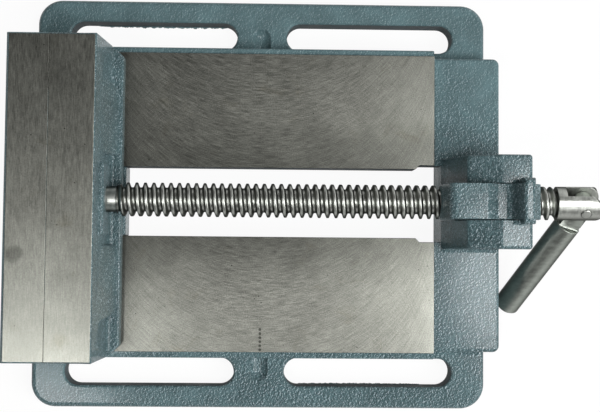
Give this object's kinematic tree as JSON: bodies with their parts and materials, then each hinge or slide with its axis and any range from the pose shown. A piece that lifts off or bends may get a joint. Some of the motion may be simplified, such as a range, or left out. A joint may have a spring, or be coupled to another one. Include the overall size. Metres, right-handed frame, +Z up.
{
  "type": "drill press vise",
  "caption": "Quick-release drill press vise: slotted cast base, sliding jaw on two machined ways, lead screw in a lift-up half nut and a folding crank handle.",
  "frame": {"origin": "centre of the four clamp slots, on the flat underside of the base", "axes": "+X along the screw from the fixed jaw towards the crank handle, +Y across the jaws, +Z up, away from the machine table"},
  "size_m": [0.2777, 0.204, 0.082],
  "materials": {
    "painted_casting": "glossy hammered blue-grey paint with machined ways",
    "jaw_casting": "ground cast iron faces with blue-grey paint behind",
    "lever_paint": "glossy blue-grey paint",
    "screw_steel": "bright turned steel",
    "handle_steel": "satin plated steel bar",
    "pin_steel": "plain steel pin",
    "keeper_iron": "milled steel plate",
    "bolt_steel": "dark zinc plated fasteners"
  },
  "bodies": {
    "base": {"base_casting": "painted_casting", "lever_pivot_pin": "pin_steel"},
    "jaw": {"movable_jaw": "jaw_casting", "jaw_keeper_plate": "keeper_iron", "keeper_bolts": "bolt_steel", "keeper_washers": "bolt_steel", "screw_retaining_pins": "pin_steel"},
    "screw": {"lead_screw": "screw_steel", "handle_pin": "pin_steel"},
    "handle": {"crank_handle": "handle_steel"},
    "lever": {"release_lever": "lever_paint"}
  },
  "joints": [
    {"name": "jaw_slide", "type": "slide", "parent": "base", "child": "jaw", "axis": [1, 0, 0], "range_m": [0, 0.15]},
    {"name": "screw_turn", "type": "hinge", "parent": "jaw", "child": "screw", "pos_m": [0, 0, 0.05], "axis": [1, 0, 0], "range_deg": [0, 13500]},
    {"name": "handle_fold", "type": "hinge", "parent": "screw", "child": "handle", "pos_m": [0.15365, 0, 0.05], "axis": [0, -0.6691, 0.7431], "range_deg": [0, 225]},
    {"name": "lever_lift", "type": "hinge", "parent": "base", "child": "lever", "pos_m": [0.11745, 0, 0.0633], "axis": [0, 1, 0], "range_deg": [0, 12]}
  ],
  "couplings": [
    {"joint": "jaw_slide", "follows": "screw_turn", "m_per_rad": 0.00063662}
  ]
}
